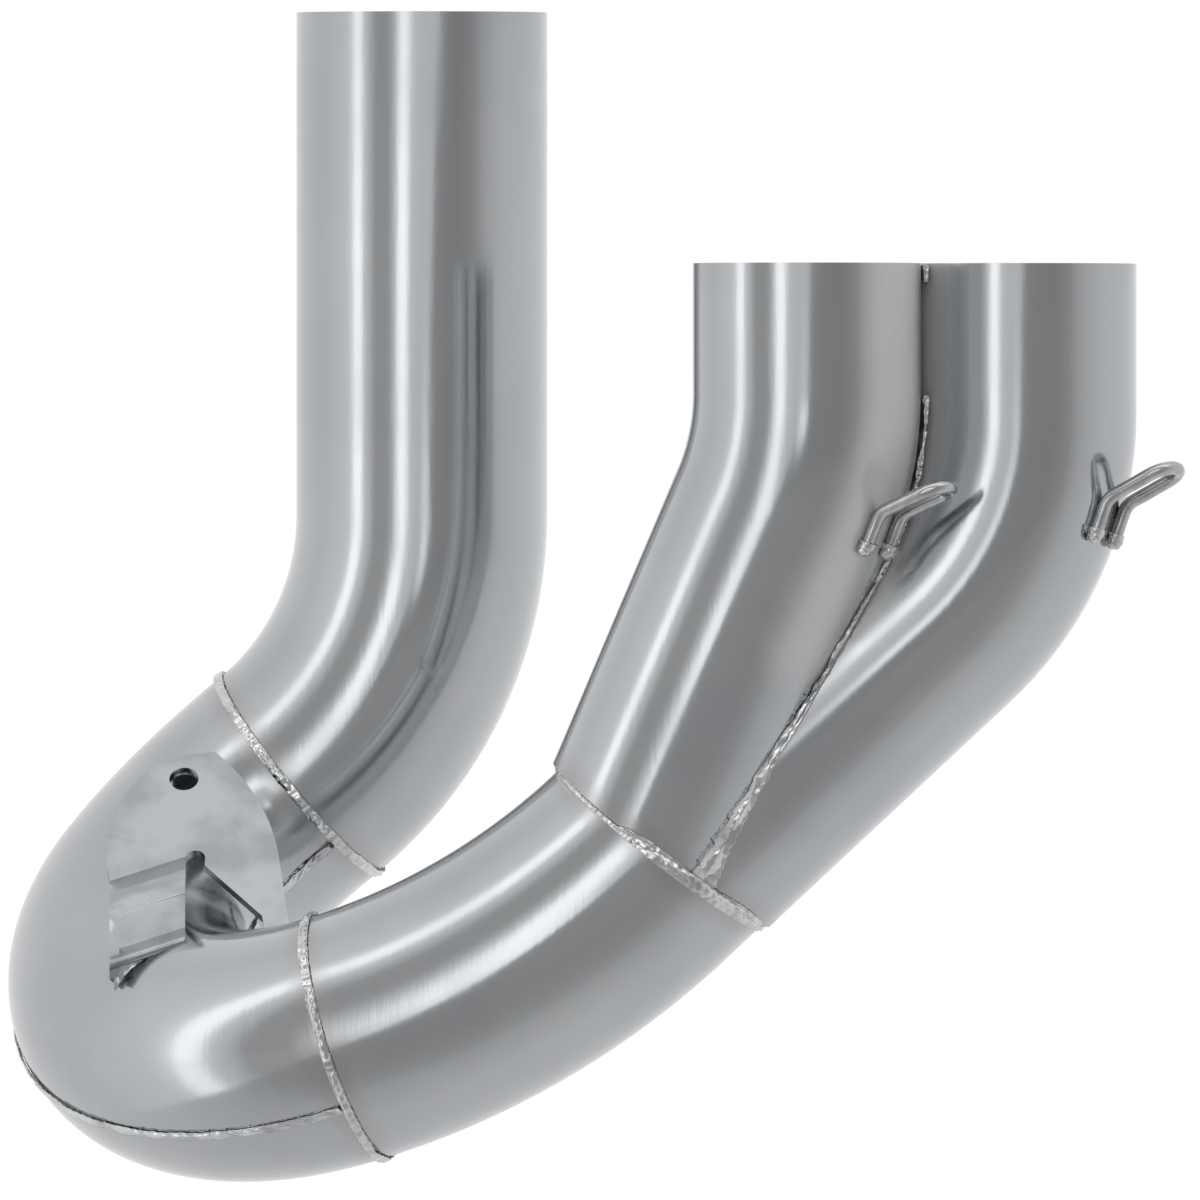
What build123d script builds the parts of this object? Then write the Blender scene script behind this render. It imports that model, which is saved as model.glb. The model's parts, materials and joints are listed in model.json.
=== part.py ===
"""Motorcycle exhaust mid-pipe: two header inlets merge into one pipe, which turns back on itself to the outlet.

The origin is the centre of the outlet's open end, and +Z runs out of the outlet, along its axis.
X runs from the outlet towards the inlets, and Y runs away from the viewer of the front.
"""

from build123d import *
from math import asin, atan2, cos, degrees, radians, sin, tan
import os

# Tubes
outletOd = 60.0  # outlet, return bend and link pipe
inletOd = 54.0  # header joints
wall = 1.5

# Centreline from the outlet down: straight lengths, bend radii, and each run's direction
# as (turn from +X towards +Y, rise above level), in degrees
outletLength = 120.0
elbowRadius = 80.0
rearLegHeading = (170.6, -39.0)
returnRadius = 54.0
returnLead = 2.0  # straight tail at each end of the return bend, and between its two turns
returnHeading = (-130.3, -38.4)
frontLegHeading = (-12.6, 17.0)
linkRadius = 180.0
linkHeading = (-8.4, 43.3)
linkTail = 6.0

# Merge of the two inlets
jointRise = 52.0  # rise of the cut at the end of the link pipe, steeper than the pipe itself
mergeOffset = 5.2  # each inlet's axis from the link pipe's axis, at the cut
frontInletHeading = (-25.0, 65.0)
frontInletRun = 99.0  # along the front inlet's slanted axis, from the cut to its corner
rearInletRise = 43.0
inletRadius = 67.0
inletGap = 0.6  # between the walls of the two inlets where they run side by side
inletRow = 20.0  # direction of the line from the front inlet to the rear one, from +X
inletTop = -60.7  # height of both open ends, below the outlet's end

# Weld beads
ringBead = 1.5
jointBead = 2.2
jointBeadOut = 0.5  # of the joint's bead, from midway between the link pipe's surface and the inlets'
beadStart = 37.0  # where a ring bead starts and ends, round the tube
seamBead = 1.4
valleyBead = 1.6
tackLength = 5.0

# Spring hooks of bent wire, whose legs lie along the tube and kick out into a loop
hookWire = 3.2
hookWidth = 10.0  # between the centres of the two legs
hookSink = 0.8  # of the wire into its seat on the tube
hookLeg = 7.0
hookKick = 45.0  # from the tube's direction, outwards
hookBend = 5.0
hookReach = 15.0  # from the kick to the top of the loop
frontHookDrop = 57.0  # from the inlet's open end down to the foot
frontHookTurn = -32.0
rearHookDrop = 57.0
rearHookTurn = -28.0
hookTack = 2.6

# Hanger bracket of folded sheet, placed by its hole, with its plate's sizes measured from the hole
sheet = 2.5
bracketHole = 7.0
bracketBack = 27.4  # from the elbow's weld to the hole, towards the return bend
bracketStand = 5.1  # of the hole, before the foremost line of the rear leg
bracketRise = -1.0
bracketHeading = (-93.0, 40.0)  # that the plate faces
plateHead = (7.1, 8.5)  # top right corner
plateHip = (19.7, -10.4)
plateWaist = (23.4, -23.0)  # where the right edge becomes straight
plateShoulder = (-14.6, -7.0)
plateLeftTop = (-4.5, 6.7)
lipDepth = 14.0  # of the plate's top edge, folded back onto the rear leg
longArmTip = (27.9, -52.0)
longArmWidth = 6.2
longArmHeel = (20.3, -42.4)  # where its left edge turns down
notchDepth = 22.2
notchWidth = 4.6
notchSide = 6.0  # of the notch's right edge, from the hole
armWidth = 19.2
armSlant = 23.0  # of the short arm's fold lines, across the plate
armShelf = 14.4  # of each of the short arm's two slanting strips, towards the viewer
armFalls = (2.9, 4.9)
armDrop = 8.6
footLength = 5.0
footFall = 2.3
wallDrop = 3.4  # of the end wall, below the foot

outerRadius = outletOd / 2
inletOuter = inletOd / 2
overcut = 30.0


def direction(heading):
    turn, rise = (radians(angle) for angle in heading)
    return Vector(cos(rise) * cos(turn), cos(rise) * sin(turn), sin(rise))


def ring(radius):
    """Section of a tube's wall."""
    return Circle(radius) - Circle(radius - wall)


class Route:
    """A tube's centreline, as straight legs and turns. Each leg starts on a plane across the tube."""

    def __init__(self, start, heading, side=(1, 0, 0)):
        self.planes = [Plane(origin=start, x_dir=side, z_dir=heading)]
        self.legs = []

    @property
    def end(self):
        return self.planes[-1]

    def straight(self, length):
        here = self.end
        self.legs.append(lambda face: extrude(here * face, amount=length, dir=here.z_dir))
        self.planes.append(here.offset(length))
        return self

    def turn(self, heading, radius):
        here = self.end
        across = here.z_dir.cross(heading).normalized()
        angle = here.z_dir.get_angle(heading)
        centre = here.origin + across.cross(here.z_dir) * radius
        axis = Axis(centre, across)
        self.legs.append(lambda face: revolve(here * face, axis, angle))
        spoke = (here.origin - centre).rotate(axis, angle)
        self.planes.append(Plane(origin=centre + spoke, x_dir=here.x_dir.rotate(axis, angle), z_dir=heading))
        return self

    def solid(self, face):
        """The face carried along every leg."""
        parts = [leg(face) for leg in self.legs]
        return Part() + parts


def halfSpace(plane, reach=400):
    """Everything within reach on the side that the plane's normal points to."""
    return plane * Pos(0, 0, reach / 2) * Box(reach, reach, reach)


def returnSide(start, first, second, middle):
    """Direction on the first plane that ends on the outside of the return bend's second turn."""
    firstAxis = Axis(start, first.cross(middle))
    outside = middle.cross(second).cross(middle).normalized() * -1
    return outside.rotate(firstAxis, -first.get_angle(middle))


# Centrelines

rearLeg = direction(rearLegHeading)
swing = direction(returnHeading)
frontLeg = direction(frontLegHeading)
linkEnd = direction(linkHeading)

elbowRoute = Route((0, 0, 0), (0, 0, -1)).straight(outletLength).turn(rearLeg, elbowRadius)
elbowEnd = elbowRoute.end.origin

seamSide = returnSide(elbowEnd, rearLeg, frontLeg, swing)
returnRoute = Route(elbowEnd, rearLeg, seamSide).straight(returnLead).turn(swing, returnRadius)
returnRoute.straight(returnLead).turn(frontLeg, returnRadius).straight(returnLead)

linkRoute = Route(returnRoute.end.origin, frontLeg).turn(linkEnd, linkRadius).straight(linkTail)
jointCentre = linkRoute.end.origin
cut = Plane(origin=jointCentre, x_dir=(0, 1, 0), z_dir=direction((linkHeading[0], jointRise)))
linkRoute.straight(outerRadius * tan(radians(jointRise - linkHeading[1])) + 1)

row = direction((inletRow, 0))
mergeSide = (row - cut.z_dir * row.dot(cut.z_dir)).normalized()


def inletRoute(foot, heading, run):
    """From below the cut, up the slant, and round to the vertical open end."""
    rise = Vector(0, 0, 1)
    tangent = inletRadius * tan(radians(heading.get_angle(rise) / 2))
    route = Route(foot - heading * overcut, heading).straight(overcut + run - tangent)
    route.turn(rise, inletRadius)
    return route.straight(inletTop - route.end.origin.Z)


frontFoot = jointCentre - mergeSide * mergeOffset
frontSlant = direction(frontInletHeading)
frontRoute = inletRoute(frontFoot, frontSlant, frontInletRun)

rearFoot = jointCentre + mergeSide * mergeOffset
rearTop = frontRoute.end.origin + row * (inletOd + inletGap)
rearFlat = Vector(rearTop.X - rearFoot.X, rearTop.Y - rearFoot.Y, 0)
rearSlant = rearFlat.normalized() * cos(radians(rearInletRise)) + Vector(0, 0, sin(radians(rearInletRise)))
rearRoute = inletRoute(rearFoot, rearSlant, rearFlat.length / cos(radians(rearInletRise)))

# Solid rods of the tubes' outsides, which trim whatever is seated on them

elbowRod = elbowRoute.solid(Circle(outerRadius))
returnRod = returnRoute.solid(Circle(outerRadius))
linkRod = linkRoute.solid(Circle(outerRadius)) - halfSpace(cut)
aboveCut = halfSpace(cut)
frontRod = frontRoute.solid(Circle(inletOuter)) & aboveCut
rearRod = rearRoute.solid(Circle(inletOuter)) & aboveCut


def returnHalf(side):
    """One pressed half of the return bend, split along its seam."""
    half = ring(outerRadius) & Pos(0, side * outletOd / 2) * Rectangle(2 * outletOd, outletOd)
    return returnRoute.solid(half)


def ringWeld(plane, radius, size, *rods):
    """Bead round a joint between two tubes."""
    bead = plane * Rot(0, 0, beadStart) * Torus(radius, size)
    for rod in rods:
        bead -= rod
    return bead


def seamWeld(side):
    """Bead along the return bend's seam, stopped short of the rings at its ends."""
    bead = returnRoute.solid(Pos(side * outerRadius, 0) * Circle(seamBead)) - returnRod
    for plane in (returnRoute.planes[0], returnRoute.end):
        bead -= plane * Torus(outerRadius, ringBead)
    return bead


def valleyFill():
    """What a bead of weld fills between the two inlets."""
    front = frontRoute.solid(Circle(inletOuter + valleyBead))
    rear = rearRoute.solid(Circle(inletOuter + valleyBead))
    return (front & rear & aboveCut) - frontRod - rearRod


def stationAt(route, height):
    """Plane across an inlet's centreline at a height, on its slant or its bend."""
    foot, bendFoot, bendTop = route.planes[:3]
    if height < bendFoot.origin.Z:
        return foot.offset((height - foot.origin.Z) / foot.z_dir.Z)
    flat = Vector(foot.z_dir.X, foot.z_dir.Y, 0).normalized()
    angle = asin(max(bendTop.origin.Z - height, 0) / inletRadius)
    shift = flat * inletRadius * (cos(angle) - 1)
    point = Vector(bendTop.origin.X + shift.X, bendTop.origin.Y + shift.Y, height)
    return Plane(origin=point, z_dir=flat * sin(angle) + Vector(0, 0, cos(angle)))


def hookRoute(route, drop, turn):
    """Wire from its first foot up the tube, out round the loop and back down to its second foot."""
    station = stationAt(route, inletTop - drop)
    along = station.z_dir
    out = direction((turn, 0))
    out = (out - along * along.dot(out)).normalized()
    across = along.cross(out)
    kick = radians(hookKick)
    lift = along * cos(kick) + out * sin(kick)
    half = hookWidth / 2
    foot = station.origin + out * (inletOuter + hookWire / 2 - hookSink)
    wire = Route(foot - across * half, along, across).straight(hookLeg).turn(lift, hookBend)
    wire.straight(hookReach - half).turn(across, half).turn(lift * -1, half).straight(hookReach - half)
    return wire.turn(along * -1, hookBend).straight(hookLeg)


def hookTacks(loop, *neighbours):
    """Blob of weld on each foot of the wire."""
    tacks = []
    for plane in (loop.planes[0], loop.end):
        tack = Pos(*plane.origin) * Sphere(hookTack)
        for neighbour in neighbours:
            tack -= neighbour
        tacks.append(tack.solid())
    return Compound(children=tacks)


def bracketPlane():
    """Front face of the plate, with its origin at the hole, x to the right and y up the plate."""
    hole = elbowEnd + Vector(-bracketBack, -outerRadius - bracketStand, bracketRise)
    facing = direction(bracketHeading)
    return Plane(origin=hole, x_dir=Vector(0, 0, 1).cross(facing), z_dir=facing)


def foldCorners():
    """Ends of the fold between the plate and the short arm, right end first."""
    slant = radians(armSlant)
    right = Vector(notchSide - notchWidth, -notchDepth - notchWidth / 2)
    return right, right - Vector(cos(slant), sin(slant)) * armWidth


def plateOutline():
    """Rounded right edge, a long arm down it, a notch, and the slanted fold of the short arm."""
    toe = (longArmTip[0] - longArmWidth, longArmTip[1])
    notchFoot = (notchSide, -notchDepth - notchWidth)
    notchRight = (notchSide, -notchDepth - notchWidth / 2)
    notchTop = (notchSide - notchWidth / 2, -notchDepth)
    foldRight, foldLeft = foldCorners()
    edge = Polyline(plateWaist, longArmTip, toe, longArmHeel, notchFoot, notchRight)
    edge += ThreePointArc(notchRight, notchTop, foldRight)
    edge += Line(foldRight, foldLeft)
    edge += ThreePointArc(foldLeft, plateShoulder, plateLeftTop)
    edge += Line(plateLeftTop, plateHead)
    return make_face(edge + ThreePointArc(plateHead, plateHip, plateWaist))


def fold(points):
    """Edge-on outline of a strip of sheet folded at each point."""
    strip = Sketch()
    for start, finish in zip(points, points[1:]):
        run = finish - start
        middle = (start + finish) / 2
        turn = degrees(atan2(run.Y, run.X))
        strip += Pos(middle.X, middle.Y) * Rot(0, 0, turn) * SlotOverall(run.length + sheet, sheet)
    return strip


def shortArm():
    """Two slanting strips, a riser and a foot on the front leg, closed by a wall at their left end."""
    plate = bracketPlane()
    right, left = (plate.from_local_coords(corner) for corner in foldCorners())
    along = (left - right).normalized()
    profile = Plane(origin=right - plate.z_dir * sheet / 2, x_dir=(0, -1, 0), z_dir=(-1, 0, 0))
    corners = [Vector(0, 0)]
    for fall in armFalls:
        corners.append(corners[-1] + Vector(armShelf, -fall))
    corners.append(corners[-1] + Vector(sheet / 2, -armDrop))
    corners.append(corners[-1] + Vector(footLength, -footFall))
    middle, front, bottom = corners[1], corners[2], corners[-1] - Vector(0, wallDrop)
    wall = make_face(Polyline(middle, front, corners[-1], bottom, Vector(middle.X, bottom.Y), close=True))
    end = Plane(origin=profile.origin + along * (armWidth - sheet), x_dir=profile.x_dir, z_dir=profile.z_dir)
    arm = extrude(profile * fold(corners), amount=armWidth, dir=along)
    return arm + extrude(end * wall, amount=sheet, dir=along)


def topLip():
    """The plate's top edge, folded back onto the rear leg."""
    corners = [Vector(*plateLeftTop), Vector(*plateHead)]
    corners += [corner - Vector(0, sheet) for corner in reversed(corners)]
    return extrude(bracketPlane() * make_face(Polyline(*corners, close=True)), amount=lipDepth, dir=(0, 1, 0))


def bracket(*trims):
    plate = bracketPlane()
    body = extrude(plate * plateOutline(), amount=-sheet) + shortArm() + topLip()
    body -= plate * Cylinder(bracketHole / 2, 4 * sheet)
    for trim in trims:
        body -= trim
    return body.solids().sort_by(SortBy.VOLUME)[-1]


elbowWeld = ringWeld(elbowRoute.end, outerRadius, ringBead, elbowRod, returnRod)
linkWeld = ringWeld(returnRoute.end, outerRadius, ringBead, returnRod, linkRod)
jointWeld = ringWeld(cut, (outerRadius + inletOuter) / 2 + jointBeadOut, jointBead, linkRod, frontRod, rearRod)

frontLoop = hookRoute(frontRoute, frontHookDrop, frontHookTurn)
rearLoop = hookRoute(rearRoute, rearHookDrop, rearHookTurn)
frontHook = frontLoop.solid(Circle(hookWire / 2)) - frontRod
rearHook = rearLoop.solid(Circle(hookWire / 2)) - rearRod
fill = valleyFill()
tackFloor = Plane(origin=(0, 0, inletTop - tackLength))
seamTop = Plane(origin=(0, 0, frontRoute.planes[2].origin.Z))

parts = {
    "outlet_pipe": elbowRoute.solid(ring(outerRadius)),
    "return_bend_upper_half": returnHalf(1),
    "return_bend_lower_half": returnHalf(-1),
    "link_pipe": linkRoute.solid(ring(outerRadius)) - aboveCut,
    "front_inlet": (frontRoute.solid(ring(inletOuter)) & aboveCut) - rearRoute.solid(Circle(inletOuter - wall)),
    "rear_inlet": (rearRoute.solid(ring(inletOuter)) & aboveCut) - frontRod,
    "outlet_weld": elbowWeld,
    "link_weld": linkWeld,
    "outer_seam_weld": seamWeld(1),
    "inner_seam_weld": seamWeld(-1),
    "joint_weld": jointWeld,
    "merge_weld": fill - halfSpace(seamTop) - jointWeld,
    "inlet_tack": fill & halfSpace(tackFloor),
    "front_spring_hook": frontHook,
    "rear_spring_hook": rearHook,
    "front_hook_tacks": hookTacks(frontLoop, frontRod, frontHook, rearRod, fill),
    "rear_hook_tacks": hookTacks(rearLoop, rearRod, rearHook),
    "hanger_bracket": bracket(elbowRod, returnRod, elbowRoute.end * Torus(outerRadius, ringBead)),
}

os.makedirs("parts", exist_ok=True)
for name, shape in parts.items():
    export_step(shape, f"parts/{name}.step")
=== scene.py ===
import json
import math
import bmesh
import bpy
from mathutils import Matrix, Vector, noise
from mathutils.bvhtree import BVHTree


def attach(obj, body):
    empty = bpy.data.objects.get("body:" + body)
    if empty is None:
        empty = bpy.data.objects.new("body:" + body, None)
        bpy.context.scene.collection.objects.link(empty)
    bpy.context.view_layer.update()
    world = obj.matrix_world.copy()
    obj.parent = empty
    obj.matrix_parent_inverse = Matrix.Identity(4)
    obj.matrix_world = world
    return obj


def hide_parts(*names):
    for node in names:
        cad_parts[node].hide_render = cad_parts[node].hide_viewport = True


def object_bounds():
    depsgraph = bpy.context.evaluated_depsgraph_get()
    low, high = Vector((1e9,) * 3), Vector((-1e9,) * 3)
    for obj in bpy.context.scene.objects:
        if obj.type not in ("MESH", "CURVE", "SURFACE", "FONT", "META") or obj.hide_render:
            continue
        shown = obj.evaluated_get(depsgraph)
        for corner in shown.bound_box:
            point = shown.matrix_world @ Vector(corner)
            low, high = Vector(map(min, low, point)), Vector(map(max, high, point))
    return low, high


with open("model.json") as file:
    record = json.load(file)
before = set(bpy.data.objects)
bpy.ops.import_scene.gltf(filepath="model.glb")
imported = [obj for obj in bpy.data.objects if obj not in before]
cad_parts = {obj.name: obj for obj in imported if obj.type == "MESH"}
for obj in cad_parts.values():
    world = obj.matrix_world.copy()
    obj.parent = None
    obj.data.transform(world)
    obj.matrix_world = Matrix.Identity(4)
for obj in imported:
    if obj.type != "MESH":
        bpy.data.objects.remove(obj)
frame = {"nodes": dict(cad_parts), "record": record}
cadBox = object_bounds()
nodes = frame["nodes"]
scene = bpy.context.scene
scene.view_settings.view_transform = "Standard"
print("mid-pipe: frame loaded,", len(nodes), "nodes")


# Camera: the photograph looks level along +Y from far away

photo = {
    "pixels": 1200,
    "pixelsPerMetre": 4200,
    "outletPixel": (421.1, 10.0),  # where the outlet's mouth centre lies in the picture
    "distance": 12.5,
    "plane": -0.055,  # depth at which the scale holds
    "sensor": 36.0,
    "clipEnd": 50.0,
}


def makeCamera(values):
    width = values["pixels"] / values["pixelsPerMetre"]
    centreX = (values["pixels"] / 2 - values["outletPixel"][0]) / values["pixelsPerMetre"]
    centreZ = (values["outletPixel"][1] - values["pixels"] / 2) / values["pixelsPerMetre"]
    data = bpy.data.cameras.new("camera")
    data.sensor_width = values["sensor"]
    data.lens = values["sensor"] * values["distance"] / width
    data.clip_end = values["clipEnd"]
    camera = bpy.data.objects.new("camera", data)
    camera.location = (centreX, values["plane"] - values["distance"], centreZ)
    camera.rotation_euler = (math.pi / 2, 0, 0)
    scene.collection.objects.link(camera)
    scene.camera = camera


# Node helpers

class Tree:  # short ways to place and join shader nodes
    def __init__(self, tree):
        self.tree = tree

    def add(self, kind, inputs=None, **settings):
        node = self.tree.nodes.new(kind)
        for name, value in settings.items():
            setattr(node, name, value)
        for name, value in (inputs or {}).items():
            if isinstance(value, bpy.types.NodeSocket):
                self.tree.links.new(value, node.inputs[name])
            else:
                node.inputs[name].default_value = value
        return node

    def group(self, tree, inputs):
        return self.add("ShaderNodeGroup", inputs, node_tree=tree).outputs

    def math(self, operation, a, b=0.0, clamp=False):
        return self.add("ShaderNodeMath", {0: a, 1: b}, operation=operation, use_clamp=clamp).outputs[0]

    def vector(self, operation, *inputs):
        node = self.add("ShaderNodeVectorMath", dict(enumerate(inputs)), operation=operation)
        return node.outputs["Value" if operation in ("LENGTH", "DOT_PRODUCT") else "Vector"]

    def smooth(self, value, start=0.0, end=1.0):
        return self.add("ShaderNodeMapRange", {"Value": value, "From Min": start, "From Max": end},
                        interpolation_type="SMOOTHSTEP").outputs[0]

    def blend(self, factor, first, second):  # a Mix node's colour sockets go by number
        return self.add("ShaderNodeMix", {"Factor": factor, 6: first, 7: second}, data_type="RGBA").outputs[2]

    def ramp(self, factor, stops):
        node = self.add("ShaderNodeValToRGB", {"Fac": factor})
        elements = node.color_ramp.elements
        while len(elements) < len(stops):
            elements.new(0.5)
        for element, (place, grey) in zip(elements, stops):
            element.position = place
            element.color = (grey, grey, grey, 1)
        return node.outputs["Color"]


def newMaterial(name):
    material = bpy.data.materials.new(name)
    material.use_nodes = True
    material.node_tree.nodes.clear()
    return material, Tree(material.node_tree)


# Studio: white surroundings, and a round tent of graded cards that the steel mirrors

plainWhite = (1, 1, 1, 1)

studio = {
    "ambient": 0.80,
    "tentRadius": 0.85,
    "tentCells": (64, 32),
    "brightest": 2.0,  # a ramp's colours stop at 1, so the cards are held as shares of this
    "darkSide": (0.62, 0.0, -0.78),  # towards the cards of positive angle
    # angle from the camera's direction, in degrees, negative towards the bright side, and the card's brightness
    "cards": [(-180, 0.98), (-140, 0.92), (-105, 0.84), (-89, 0.92), (-77, 0.98), (-71, 1.15), (-68.5, 1.85),
              (-62, 1.85), (-59, 0.98), (-53, 0.78), (-48, 0.50), (-35, 0.50), (-29, 0.85), (-24.5, 1.9), (-18.5, 1.8),
              (-15.5, 0.92), (-4, 0.80), (-0.8, 1.65), (3.3, 1.65), (5.6, 0.38), (35, 0.36), (49, 0.43), (61, 0.62),
              (83, 0.78), (112, 0.84), (150, 0.95), (180, 0.98)],
}


def lightTent(values):
    lowest, highest = cadBox
    centre = (lowest + highest) / 2
    segments, rings = values["tentCells"]
    bpy.ops.mesh.primitive_uv_sphere_add(segments=segments, ring_count=rings, radius=values["tentRadius"],
                                         location=centre)
    tent = bpy.context.object
    tent.name = "lightTent"
    tent.data.shade_smooth()
    tent.visible_camera = False
    tent.visible_shadow = False
    material, tree = newMaterial("tentCards")
    place = tree.add("ShaderNodeTexCoord").outputs["Object"]
    way = tree.vector("NORMALIZE", place)
    towards = tree.math("MULTIPLY", tree.add("ShaderNodeSeparateXYZ", {0: way}).outputs["Y"], -1.0)
    away = tree.math("ARCCOSINE", towards)
    side = tree.math("SIGN", tree.vector("DOT_PRODUCT", way, values["darkSide"]))
    turn = tree.math("MULTIPLY", away, side)
    share = tree.math("ADD", tree.math("DIVIDE", turn, 2 * math.pi), 0.5)
    stops = [((angle + 180) / 360, brightness / values["brightest"]) for angle, brightness in values["cards"]]
    glow = tree.add("ShaderNodeEmission", {"Color": tree.ramp(share, stops), "Strength": values["brightest"]})
    tree.add("ShaderNodeOutputMaterial", {"Surface": glow.outputs[0]})
    tent.data.materials.append(material)


def surroundings(values):
    world = bpy.data.worlds.new("surroundings")
    world.use_nodes = True
    world.node_tree.nodes.clear()
    tree = Tree(world.node_tree)
    path = tree.add("ShaderNodeLightPath")
    seen = tree.math("MAXIMUM", path.outputs["Is Camera Ray"], path.outputs["Is Glossy Ray"])
    seen = tree.math("MAXIMUM", seen, path.outputs["Is Transmission Ray"])
    ambient = tree.add("ShaderNodeBackground", {"Color": plainWhite, "Strength": values["ambient"]})
    white = tree.add("ShaderNodeBackground", {"Color": plainWhite, "Strength": 1.0})
    mix = tree.add("ShaderNodeMixShader", {0: seen, 1: ambient.outputs[0], 2: white.outputs[0]})
    tree.add("ShaderNodeOutputWorld", {"Surface": mix.outputs[0]})
    scene.world = world


floorValues = {
    "drop": 0.009,  # below the part, so that the floor's shade stays out of the photograph's view
    "size": 60.0,
    "cells": 8,
    "whiteFrom": 0.15,  # from the middle outwards the camera sees it turn to plain white
    "whiteBy": 0.33,
    "colour": (0.86, 0.86, 0.86, 1),
    "mirrorsTent": 0.85,  # how far the steel mirrors the tent's cards instead of the floor
}


def makeFloor(values):
    lowest, highest = cadBox
    centre = (lowest + highest) / 2
    bpy.ops.mesh.primitive_grid_add(x_subdivisions=values["cells"], y_subdivisions=values["cells"],
                                    size=values["size"],
                                    location=(centre.x, centre.y, lowest.z - values["drop"]))
    floor = bpy.context.object
    floor.name = "floor"
    material, tree = newMaterial("paleFloor")
    place = tree.add("ShaderNodeTexCoord").outputs["Object"]
    away = tree.smooth(tree.vector("LENGTH", place), values["whiteFrom"], values["whiteBy"])
    path = tree.add("ShaderNodeLightPath")
    seen = tree.math("MAXIMUM", path.outputs["Is Camera Ray"], path.outputs["Is Transmission Ray"])
    seen = tree.math("MULTIPLY", seen, away)
    paper = tree.add("ShaderNodeBsdfDiffuse", {"Color": values["colour"]})
    white = tree.add("ShaderNodeEmission", {"Color": plainWhite, "Strength": 1.0})
    lit = tree.add("ShaderNodeMixShader", {0: seen, 1: paper.outputs[0], 2: white.outputs[0]})
    clear = tree.add("ShaderNodeBsdfTransparent")
    mirrored = tree.math("MULTIPLY", path.outputs["Is Glossy Ray"], values["mirrorsTent"])
    mix = tree.add("ShaderNodeMixShader", {0: mirrored, 1: lit.outputs[0], 2: clear.outputs[0]})
    tree.add("ShaderNodeOutputMaterial", {"Surface": mix.outputs[0]})
    floor.data.materials.append(material)


# Shared effects of the steel

effects = {
    "cloudDetail": 3.0,
    "cloudRoughness": 0.55,
    "patchFrom": 0.38,  # of the cloud's noise, where a patch begins and where it is full
    "patchBy": 0.64,
    "lineDetail": 4.0,
    "lineRoughness": 0.6,
    "lineStrength": 0.5,
    "haloScale": 160.0,  # of the noise that makes a halo's edge ragged
    "haloDetail": 3.0,
    "haloWithin": 0.05,  # of the weld's centre, or the halo would mark other tubes in the weld's plane
}


def newGroup(name, inputs, outputs):
    tree = bpy.data.node_groups.new(name, "ShaderNodeTree")
    for way, sockets in (("INPUT", inputs), ("OUTPUT", outputs)):
        for label, kind in sockets.items():
            tree.interface.new_socket(name=label, in_out=way, socket_type="NodeSocket" + kind)
    helper = Tree(tree)
    return helper, helper.add("NodeGroupInput").outputs


def makeCloudyTone(values):  # broad, soft patches of a second tone and another gloss
    helper, given = newGroup("cloudyTone", {"Place": "Vector", "Scale": "Float", "Tone": "Color", "Patch": "Color",
                                            "Smooth": "Float", "Rough": "Float"},
                             {"Colour": "Color", "Gloss": "Float"})
    cloud = helper.add("ShaderNodeTexNoise", {"Vector": given["Place"], "Scale": given["Scale"],
                                              "Detail": values["cloudDetail"],
                                              "Roughness": values["cloudRoughness"]}).outputs["Fac"]
    mask = helper.smooth(cloud, values["patchFrom"], values["patchBy"])
    tone = helper.blend(mask, given["Tone"], given["Patch"])
    gloss = helper.add("ShaderNodeMapRange", {"Value": mask, "To Min": given["Smooth"], "To Max": given["Rough"]})
    helper.add("NodeGroupOutput", {"Colour": tone, "Gloss": gloss.outputs[0]})
    return helper.tree


def makeBrushLines(values):  # fine lines drawn along one way
    helper, given = newGroup("brushLines", {"Place": "Vector", "Stretch": "Vector", "Scale": "Float"},
                             {"Height": "Float"})
    drawn = helper.vector("MULTIPLY", given["Place"], given["Stretch"])
    lines = helper.add("ShaderNodeTexNoise", {"Vector": drawn, "Scale": given["Scale"],
                                              "Detail": values["lineDetail"],
                                              "Roughness": values["lineRoughness"]}).outputs["Fac"]
    helper.add("NodeGroupOutput", {"Height": lines})
    return helper.tree


def makeWeldHalo(values):  # how near a point is to a ring weld, from 0 to 1
    helper, given = newGroup("weldHalo", {"Place": "Vector", "Centre": "Vector", "Axis": "Vector", "Reach": "Float"},
                             {"Mask": "Float"})
    offset = helper.vector("SUBTRACT", given["Place"], given["Centre"])
    far = helper.math("ABSOLUTE", helper.vector("DOT_PRODUCT", offset, given["Axis"]))
    ragged = helper.add("ShaderNodeTexNoise", {"Vector": given["Place"], "Scale": values["haloScale"],
                                               "Detail": values["haloDetail"]}).outputs["Fac"]
    spread = helper.math("MULTIPLY", given["Reach"], helper.math("ADD", ragged, 0.5))  # the noise lies about a half
    near = helper.math("SUBTRACT", 1.0, helper.math("DIVIDE", far, spread), clamp=True)
    beside = helper.math("LESS_THAN", helper.vector("LENGTH", offset), values["haloWithin"])
    helper.add("NodeGroupOutput", {"Mask": helper.math("MULTIPLY", near, beside)})
    return helper.tree


def makeLineDistance():  # how far a point is from a line between two points
    helper, given = newGroup("lineDistance", {"Place": "Vector", "Start": "Vector", "End": "Vector"},
                             {"Distance": "Float"})
    line = helper.vector("SUBTRACT", given["End"], given["Start"])
    arm = helper.vector("SUBTRACT", given["Place"], given["Start"])
    along = helper.vector("DOT_PRODUCT", arm, line)
    share = helper.math("DIVIDE", along, helper.vector("DOT_PRODUCT", line, line), clamp=True)
    foot = helper.vector("MULTIPLY", line, share)
    far = helper.vector("LENGTH", helper.vector("SUBTRACT", arm, foot))
    helper.add("NodeGroupOutput", {"Distance": far})
    return helper.tree


lineDistance = makeLineDistance()
cloudyTone = makeCloudyTone(effects)
brushLines = makeBrushLines(effects)
weldHalo = makeWeldHalo(effects)
print("mid-pipe: shared steel effects built")


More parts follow.
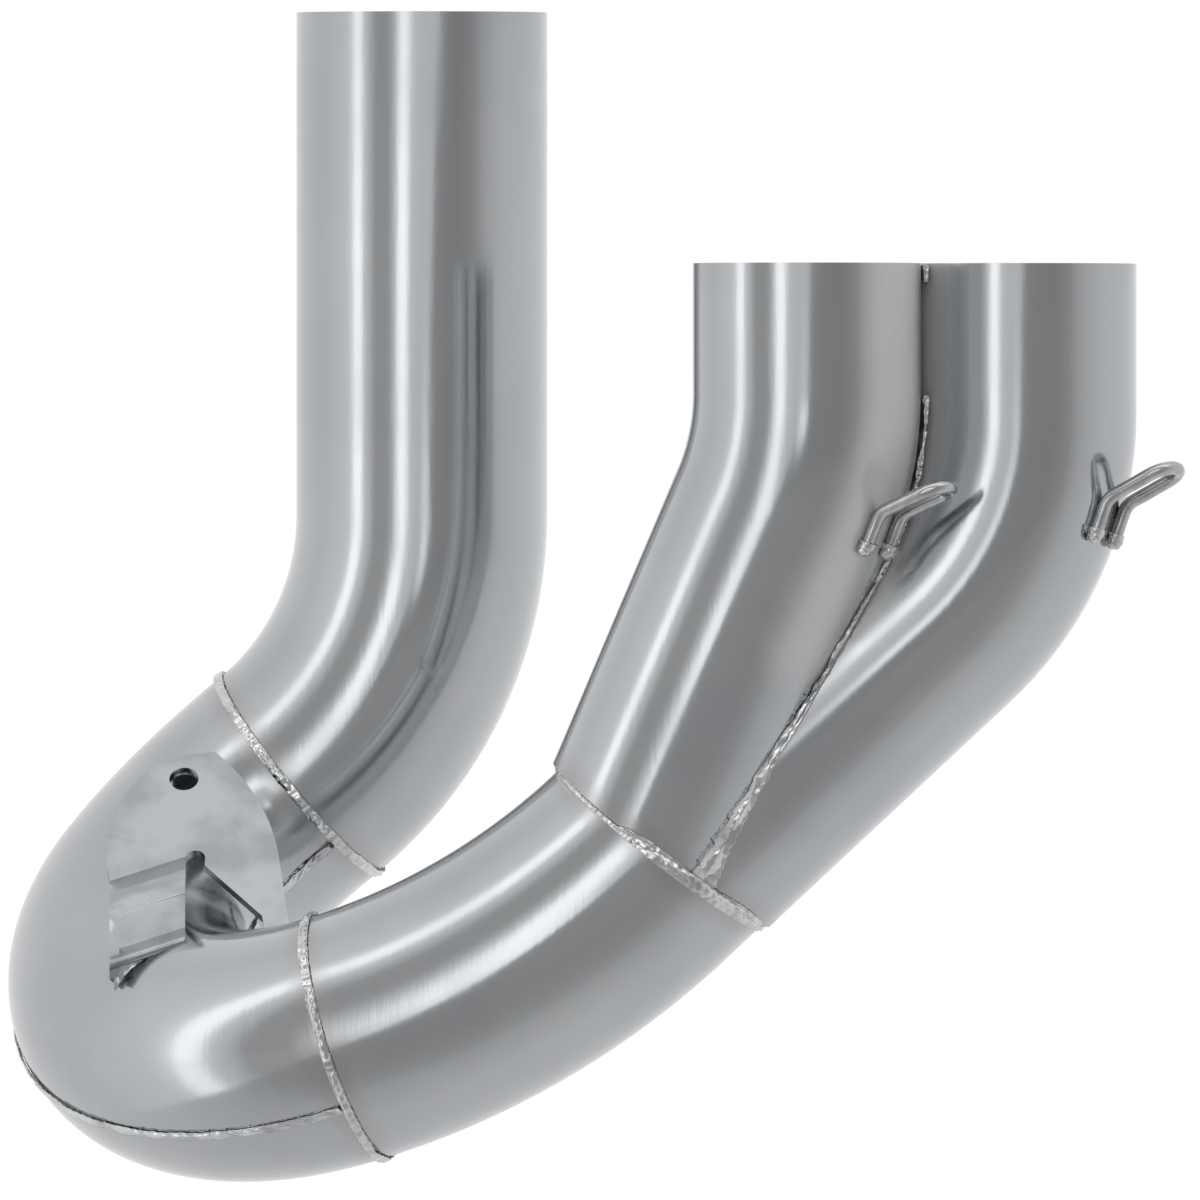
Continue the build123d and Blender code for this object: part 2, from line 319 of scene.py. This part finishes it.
def cloudySteel(tree, place, values):
    return tree.group(cloudyTone, {"Place": place, "Scale": values["patchScale"], "Tone": values["tone"],
                                   "Patch": values["patch"], "Smooth": values["smooth"], "Rough": values["rough"]})


def drawnNormal(tree, place, values):
    lines = tree.group(brushLines, {"Place": place, "Stretch": values["lineStretch"], "Scale": values["lineScale"]})
    return tree.add("ShaderNodeBump", {"Height": lines["Height"], "Distance": values["lineDepth"],
                                       "Strength": effects["lineStrength"]}).outputs[0]


# Tubes: satin steel, duller beside each ring weld; in the valley between the inlets a matt grey paints in the valley's
# shade and dulls its reflections, and inside the bores the steel turns matt grey

ringWelds = {
    "outlet": {"centre": (-0.02926, 0.00484, -0.18217), "axis": (-0.767, 0.127, -0.629), "radius": 0.030},
    "link": {"centre": (-0.01708, -0.08567, -0.24428), "axis": (0.933, -0.209, 0.292), "radius": 0.030},
    "joint": {"centre": (0.05743, -0.09968, -0.19864), "axis": (0.609, -0.090, 0.788), "radius": 0.029},
}

tubeValues = {
    "tone": (0.49, 0.505, 0.52, 1),
    "patch": (0.455, 0.47, 0.488, 1),
    "patchScale": 17.0,
    "smooth": 0.12,
    "rough": 0.17,
    "lineStretch": (1.0, 1.0, 0.12),
    "lineScale": 700.0,
    "lineDepth": 0.00003,
    "haloTone": (0.42, 0.425, 0.43, 1),
    "haloReach": 0.006,
    "haloGloss": 0.12,
    # lines along the valley, and how far from them it is dull: painted shade between the inlets
    "valleyShadeAndBore": [((0.1172, -0.1104, -0.060), (0.1172, -0.1104, -0.100), 0.021),
              ((0.1172, -0.1104, -0.100), (0.1045, -0.1130, -0.140), 0.021),
              ((0.1135, -0.1330, -0.050), (0.1135, -0.1330, -0.095), 0.0165),
              ((0.1135, -0.1330, -0.095), (0.0900, -0.1280, -0.150), 0.0165)],
    # each bore's radius, halfway through the wall, and its axis
    "bores": [(0.0288, [(0, 0, 0.02), (0, 0, -0.13)]),
              (0.0262, [(0.0916, -0.1198, -0.04), (0.0916, -0.1198, -0.0914), (0.0901, -0.1191, -0.1059),
                        (0.0859, -0.1171, -0.1197), (0.0583, -0.1042, -0.1851)]),
              (0.0262, [(0.1429, -0.1011, -0.04), (0.1429, -0.1011, -0.0959), (0.1415, -0.1010, -0.1095),
                        (0.1373, -0.1008, -0.1226), (0.1306, -0.1005, -0.1346), (0.1216, -0.1001, -0.1449),
                        (0.0700, -0.0977, -0.1931)])],
    # matt grey of the painted valley shade, also used inside the bores
    "valleyShadeAndBoreTone": (0.56, 0.565, 0.57, 1),
    "valleyShadeAndBoreGloss": 0.40,
}


def makeTubeSteel(values):
    material, tree = newMaterial("satinTubeSteel")
    place = tree.add("ShaderNodeTexCoord").outputs["Object"]
    cloudy = cloudySteel(tree, place, values)
    halo = 0.0
    for weld in ringWelds.values():
        mask = tree.group(weldHalo, {"Place": place, "Centre": weld["centre"], "Axis": weld["axis"],
                                     "Reach": values["haloReach"]})["Mask"]
        halo = tree.math("MAXIMUM", halo, mask)
    tone = tree.blend(halo, cloudy["Colour"], values["haloTone"])
    gloss = tree.math("ADD", cloudy["Gloss"], tree.math("MULTIPLY", halo, values["haloGloss"]))
    valleyShadeAndBore = 0.0
    for above, below, reach in values["valleyShadeAndBore"]:
        far = tree.group(lineDistance, {"Place": place, "Start": above, "End": below})["Distance"]
        near = tree.math("SUBTRACT", 1.0, tree.math("DIVIDE", far, reach), clamp=True)
        valleyShadeAndBore = tree.math("MAXIMUM", valleyShadeAndBore, tree.smooth(near))
    for radius, axis in values["bores"]:
        for above, below in zip(axis, axis[1:]):
            far = tree.group(lineDistance, {"Place": place, "Start": above, "End": below})["Distance"]
            valleyShadeAndBore = tree.math("MAXIMUM", valleyShadeAndBore, tree.math("LESS_THAN", far, radius))
    # painted shade: the valley between the inlets turns matt grey and loses its reflections; the bores turn matt grey
    # too
    tone = tree.blend(valleyShadeAndBore, tone, values["valleyShadeAndBoreTone"])
    gloss = tree.math("ADD", gloss, tree.math("MULTIPLY", valleyShadeAndBore, values["valleyShadeAndBoreGloss"]))
    shader = tree.add("ShaderNodeBsdfPrincipled", {"Base Color": tone, "Metallic": tree.math("SUBTRACT", 1.0, valleyShadeAndBore),
                                                   "Roughness": gloss, "Normal": drawnNormal(tree, place, values)})
    tree.add("ShaderNodeOutputMaterial", {"Surface": shader.outputs[0]})
    return material


# Sheet and wire: the same steel, smoother and plainer

samePoint = 0.000002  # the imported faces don't share their corners

bracketValues = {
    "name": "smoothSheetSteel",
    "tone": (0.49, 0.505, 0.52, 1),
    "patch": (0.36, 0.375, 0.39, 1),
    "patchScale": 55.0,
    "smooth": 0.22,
    "rough": 0.36,
    "lineStretch": (1.0, 0.3, 0.3),
    "lineScale": 900.0,
    "lineDepth": 0.00003,
    "bevel": 0.0004,
    "bevelSteps": 2,
    "bevelAngle": 32,  # edges sharper than this are rounded
}

hookValues = {
    "name": "drawnWireSteel",
    "tone": (0.50, 0.51, 0.52, 1),
    "patch": (0.40, 0.405, 0.41, 1),
    "patchScale": 240.0,
    "smooth": 0.20,
    "rough": 0.30,
    "lineStretch": (0.4, 1.0, 1.0),
    "lineScale": 1600.0,
    "lineDepth": 0.00004,
}


def makePlainSteel(values):
    material, tree = newMaterial(values["name"])
    place = tree.add("ShaderNodeTexCoord").outputs["Object"]
    cloudy = cloudySteel(tree, place, values)
    shader = tree.add("ShaderNodeBsdfPrincipled", {"Base Color": cloudy["Colour"], "Metallic": 1.0,
                                                   "Roughness": cloudy["Gloss"],
                                                   "Normal": drawnNormal(tree, place, values)})
    tree.add("ShaderNodeOutputMaterial", {"Surface": shader.outputs[0]})
    return material


def roundEdges(node, values):
    weld = node.modifiers.new("joinFaces", "WELD")
    weld.merge_threshold = samePoint
    bevel = node.modifiers.new("softEdges", "BEVEL")
    bevel.width = values["bevel"]
    bevel.segments = values["bevelSteps"]
    bevel.limit_method = "ANGLE"
    bevel.angle_limit = math.radians(values["bevelAngle"])


# Weld beads: each CAD bead, remeshed fine and pushed about into lumps and ripples

beadFinish = {
    "name": "weldMetal",
    "tone": (0.66, 0.67, 0.675, 1),
    "patch": (0.50, 0.505, 0.51, 1),
    "patchScale": 150.0,
    "smooth": 0.16,
    "rough": 0.28,
    "lineStretch": (1.0, 1.0, 1.0),
    "lineScale": 700.0,
    "lineDepth": 0.00004,
}

beadValues = {
    "grow": 0.0003,  # outwards first, so that the bead's foot goes into the tubes
    "voxel": 0.00034,
    "sink": 0.00085,
    "lumpSize": 0.0058,
    "lumpHeight": 0.00085,
    "lumpCap": 0.4,  # of the noise, so that no lump stands out
    "fineSize": 0.4,  # of small lumps on the large ones, as shares of their size and height
    "fineHeight": 0.25,
    "ripplePitch": 0.0023,
    "rippleHeight": 0.00007,
    "bow": 90.0,  # how far each ripple bends over the bead's width
    "wander": 1.3,  # of the ripples, in radians
    "wanderSize": 0.006,
}

beads = {  # a ring runs round its weld's axis, and a straight bead along a line
    "outlet_weld": {"ring": "outlet"},
    "link_weld": {"ring": "link"},
    "joint_weld": {"ring": "joint", "lumpHeight": 0.0006},
    "outer_seam_weld": {"centre": (-0.0232, -0.0436, -0.2061), "axis": (0.557, 0.470, -0.684), "radius": 0.062,
                        "lumpHeight": 0.0003},
    "inner_seam_weld": {"centre": (-0.0232, -0.0436, -0.2061), "axis": (0.557, 0.470, -0.684), "radius": 0.020},
    "merge_weld": {"along": (0.45, -0.02, 0.89), "lumpSize": 0.0050},
    "inlet_tack": {"along": (0.0, 0.0, 1.0)},
    "front_hook_tacks": {"along": (0.8, 0.0, 0.6), "lumpHeight": 0.0004, "rippleHeight": 0.0001},
    "rear_hook_tacks": {"along": (0.8, 0.0, 0.6), "lumpHeight": 0.0004, "rippleHeight": 0.0001},
}


def alongBead(point, values):
    if "along" in values:
        return point.dot(Vector(values["along"]).normalized())
    axis = Vector(values["axis"]).normalized()
    arm = point - Vector(values["centre"])
    level = axis.orthogonal().normalized()
    turn = math.atan2(arm.dot(axis.cross(level)), arm.dot(level))
    return turn * values["radius"] + values["bow"] * arm.dot(axis) ** 2


def nodeForm(nodeName, grow):
    form = bmesh.new()
    form.from_mesh(nodes[nodeName].data)
    bmesh.ops.remove_doubles(form, verts=form.verts, dist=samePoint)
    form.normal_update()
    for vert in form.verts:
        vert.co += vert.normal * grow
    return form


def makeBead(name, form, values):
    rough = bpy.data.meshes.new(name + "Rough")
    form.to_mesh(rough)
    form.free()
    piece = bpy.data.objects.new(name, rough)
    scene.collection.objects.link(piece)
    remesh = piece.modifiers.new("remesh", "REMESH")
    remesh.mode = "VOXEL"
    remesh.voxel_size = values["voxel"]
    depsgraph = bpy.context.evaluated_depsgraph_get()
    fine = bpy.data.meshes.new_from_object(piece.evaluated_get(depsgraph))
    piece.modifiers.clear()
    piece.data = fine
    moves = []
    for vert in fine.vertices:
        fineLump = noise.noise(vert.co / (values["fineSize"] * values["lumpSize"]))
        lump = noise.noise(vert.co / values["lumpSize"]) + values["fineHeight"] * fineLump
        wander = values["wander"] * noise.noise(vert.co / values["wanderSize"])
        ripple = math.cos(2 * math.pi * alongBead(vert.co, values) / values["ripplePitch"] + wander)
        moves.append(vert.normal * (values["lumpHeight"] * min(lump, values["lumpCap"])
                                    + values["rippleHeight"] * ripple - values["sink"]))
    for vert, move in zip(fine.vertices, moves):
        vert.co += move
    fine.shade_smooth()
    fine.materials.clear()
    fine.materials.append(weldMetal)
    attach(piece, "root")
    print("mid-pipe:", name, len(fine.polygons), "faces")
    return piece


# Fillet of weld that beds the bracket's foot on the tube

footWeld = {
    "footRight": (-0.0562, -0.0797, -0.2216),
    "footLeft": (-0.0730, -0.0833, -0.2270),
    "riserRight": (-0.0562, -0.0745, -0.2190),
    "riserLeft": (-0.0730, -0.0785, -0.2245),
    "slope": (0.0, -0.05, -1.0),  # way down from the foot's edge to the tube
    "startAbove": 0.001,
    "reach": 0.03,  # how far down the tube is looked for
    "bite": 0.0012,  # into the tube
    "under": (0.0, 0.004, -0.004),  # from the riser to the weld's back edge
    "steps": 24,
    "hollow": 0.03,  # of the front face, towards the riser
    "along": (0.94, 0.2, 0.3),
    "voxel": 0.0003,
    "sink": 0.0002,
    "lumpHeight": 0.0004,
}


def footForm(values):
    depsgraph = bpy.context.evaluated_depsgraph_get()
    skins = [BVHTree.FromObject(nodes[half], depsgraph)
             for half in ("return_bend_lower_half", "return_bend_upper_half")]
    slope = Vector(values["slope"]).normalized()
    form = bmesh.new()
    sections = []
    for step in range(values["steps"] + 1):
        share = step / values["steps"]
        edge = Vector(values["footRight"]).lerp(Vector(values["footLeft"]), share)
        back = Vector(values["riserRight"]).lerp(Vector(values["riserLeft"]), share)
        start = edge - slope * values["startAbove"]
        casts = [skin.ray_cast(start, slope, values["reach"])[0] for skin in skins]
        hits = [place for place in casts if place]
        floor = min(hits, key=lambda place: (place - edge).length, default=edge)
        bottom = floor + slope * values["bite"]
        front = edge.lerp(bottom, 0.5).lerp(back, values["hollow"])
        deep = back + Vector(values["under"]) if hits else back
        sections.append([form.verts.new(place) for place in (edge, front, bottom, deep, back)])
    for near, far in zip(sections, sections[1:]):
        for corner in range(len(near)):
            after = (corner + 1) % len(near)
            form.faces.new((near[corner], near[after], far[after], far[corner]))
    form.faces.new(sections[0])
    form.faces.new(list(reversed(sections[-1])))
    bmesh.ops.recalc_face_normals(form, faces=form.faces)
    return form


makeCamera(photo)
surroundings(studio)
lightTent(studio)
makeFloor(floorValues)
print("mid-pipe: camera, tent and floor in place")

tubeSteel = makeTubeSteel(tubeValues)
weldMetal = makePlainSteel(beadFinish)
slots = {"tube_steel": tubeSteel, "weld_bead": weldMetal, "bracket_steel": makePlainSteel(bracketValues),
         "hook_wire": makePlainSteel(hookValues)}
for part in frame["record"]["subparts"]:
    node = nodes[part["node"]]
    node.data.materials.clear()
    node.data.materials.append(slots[part["material_slot"]])
roundEdges(nodes["hanger_bracket"], bracketValues)
print("mid-pipe: tubes, bracket and hooks finished")

for nodeName, beadPlan in beads.items():
    beadPlan = {**beadValues, **beadPlan, **ringWelds.get(beadPlan.get("ring"), {})}
    bead = makeBead(nodeName.title().replace("_", ""), nodeForm(nodeName, beadPlan["grow"]), beadPlan)
    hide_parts(nodeName)
makeBead("FootWeld", footForm(footWeld), {**beadValues, **footWeld})
